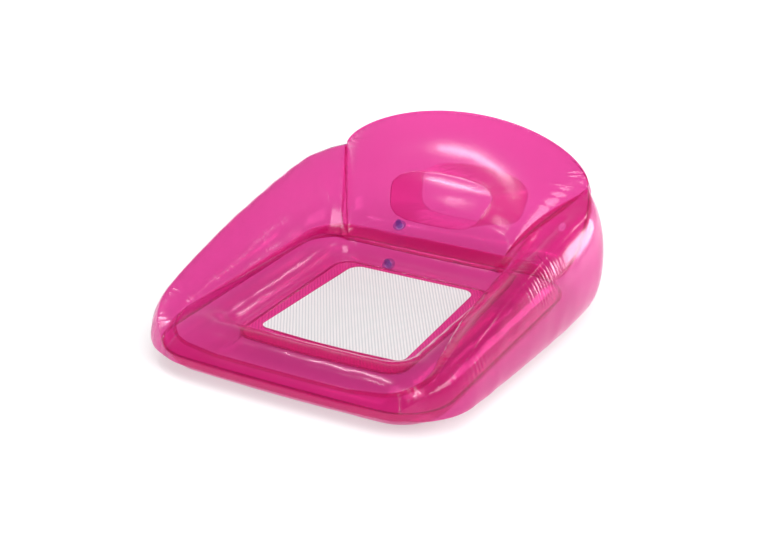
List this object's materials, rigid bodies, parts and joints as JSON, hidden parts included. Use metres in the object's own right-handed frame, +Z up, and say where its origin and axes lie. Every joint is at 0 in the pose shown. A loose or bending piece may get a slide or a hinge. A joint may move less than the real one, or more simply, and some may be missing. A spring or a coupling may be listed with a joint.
{
  "type": "inflatable pool chair",
  "caption": "Inflatable pool chair with a flat seat ring, a drain mesh seat, a raised backrest with a headrest, two arms and sliding stem valves.",
  "frame": {"origin": "centre of the bounding box at the level of the floor", "axes": "+Z up, the chair faces -Y, +X is the sitter's left"},
  "size_m": [0.9544, 1.0424, 0.412],
  "materials": {
    "tinted_vinyl_film": "clear magenta vinyl film, glossy",
    "border_film": "clear magenta vinyl film over the netting",
    "netting": "white woven netting",
    "soft_vinyl": "pale blue soft vinyl, half clear"
  },
  "bodies": {
    "chair": {"seat_ring_top_sheet": "tinted_vinyl_film", "seat_ring_bottom_sheet": "tinted_vinyl_film", "front_band_sheet": "tinted_vinyl_film", "backrest_front_sheet": "tinted_vinyl_film", "backrest_rear_sheet": "tinted_vinyl_film", "headrest_baffle": "tinted_vinyl_film", "left_arm_sheet": "tinted_vinyl_film", "right_arm_sheet": "tinted_vinyl_film", "left_junction_web": "tinted_vinyl_film", "right_junction_web": "tinted_vinyl_film", "mesh_border_upper": "border_film", "mesh_border_lower": "border_film", "seat_mesh_panel": "netting", "backrest_valve_base": "soft_vinyl", "ring_valve_base": "soft_vinyl"},
    "backrest_valve_stem": {"backrest_valve_stem": "soft_vinyl"},
    "backrest_valve_plug": {"backrest_valve_plug": "soft_vinyl"},
    "backrest_valve_flap": {"backrest_valve_flap": "soft_vinyl"},
    "ring_valve_stem": {"ring_valve_stem": "soft_vinyl"},
    "ring_valve_plug": {"ring_valve_plug": "soft_vinyl"},
    "ring_valve_flap": {"ring_valve_flap": "soft_vinyl"}
  },
  "joints": [
    {"name": "backrest_valve_stem_slide", "type": "slide", "parent": "chair", "child": "backrest_valve_stem", "axis": [-0.0497, 0.5023, -0.8633], "range_m": [0, 0.012]},
    {"name": "backrest_valve_plug_pull", "type": "slide", "parent": "backrest_valve_stem", "child": "backrest_valve_plug", "axis": [-0.0497, 0.5023, -0.8633], "range_m": [0, 0.008]},
    {"name": "backrest_valve_flap_hinge", "type": "hinge", "parent": "backrest_valve_stem", "child": "backrest_valve_flap", "pos_m": [-0.19389, 0.40733, 0.09048], "axis": [0.0851, -0.8591, -0.5047], "range_deg": [0, 35], "stiffness_Nm_per_rad": 0.0002, "springref_deg": -11.46},
    {"name": "ring_valve_stem_slide", "type": "slide", "parent": "chair", "child": "ring_valve_stem", "axis": [0, 0.6203, -0.7843], "range_m": [0, 0.012]},
    {"name": "ring_valve_plug_pull", "type": "slide", "parent": "ring_valve_stem", "child": "ring_valve_plug", "axis": [0, 0.6203, -0.7843], "range_m": [0, 0.008]},
    {"name": "ring_valve_flap_hinge", "type": "hinge", "parent": "ring_valve_stem", "child": "ring_valve_flap", "pos_m": [-0.15819, 0.27663, 0.02704], "axis": [0, -0.7843, -0.6203], "range_deg": [0, 35], "stiffness_Nm_per_rad": 0.0002, "springref_deg": -11.46}
  ]
}
